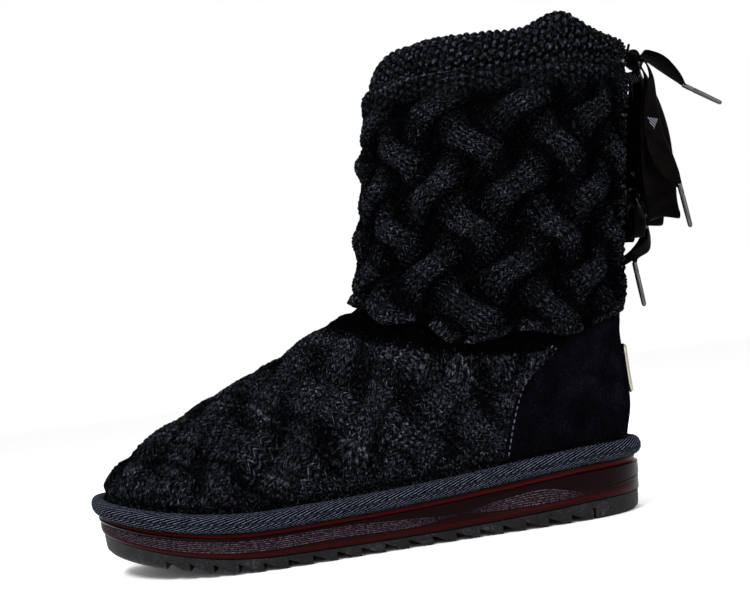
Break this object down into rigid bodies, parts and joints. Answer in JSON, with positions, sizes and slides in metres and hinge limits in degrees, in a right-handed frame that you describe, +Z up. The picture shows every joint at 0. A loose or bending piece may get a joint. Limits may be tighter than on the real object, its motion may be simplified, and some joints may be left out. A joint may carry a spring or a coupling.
{
  "type": "winter ankle boot",
  "caption": "Left pull-on ankle boot with a knitted upper, a sleeve round its open shaft, a taped rand, a toothed sole and ribbon bows on a slit at the back.",
  "frame": {"origin": "middle of the heel block's flat underside, which stands on the floor", "axes": "+X towards the toe, +Y towards the outer side of the left foot, +Z up"},
  "size_m": [0.3397, 0.1126, 0.2387],
  "materials": {
    "outsole_rubber": "matte, finely speckled",
    "midsole_rubber": "gloss",
    "rand_tape": "twill tape over a cord",
    "lining_felt": "short pile",
    "knit": "cable knit wool",
    "rib_knit": "rib knit wool",
    "suede": "suede",
    "badge_metal": "satin, plain",
    "ribbon": "satin ribbon",
    "ribbon_tips": "clear over black"
  },
  "bodies": {
    "root": {"outsole": "outsole_rubber", "midsole": "midsole_rubber", "rand": "rand_tape", "insole": "lining_felt", "upper": "knit", "shaft_sleeve": "knit", "collar": "rib_knit", "heel_counter": "suede", "back_band_left": "rib_knit", "back_band_right": "rib_knit", "back_gusset": "lining_felt", "heel_badge": "badge_metal", "ribbon_bar_upper": "ribbon", "ribbon_bar_lower": "ribbon", "bow_upper_knot": "ribbon", "bow_upper_loop_left": "ribbon", "bow_upper_tail_left": "ribbon", "bow_upper_aglet_left": "ribbon_tips", "bow_upper_loop_right": "ribbon", "bow_upper_tail_right": "ribbon", "bow_upper_aglet_right": "ribbon_tips", "bow_lower_knot": "ribbon", "bow_lower_loop_left": "ribbon", "bow_lower_tail_left": "ribbon", "bow_lower_aglet_left": "ribbon_tips", "bow_lower_loop_right": "ribbon", "bow_lower_tail_right": "ribbon", "bow_lower_aglet_right": "ribbon_tips"}
  },
  "joints": []
}
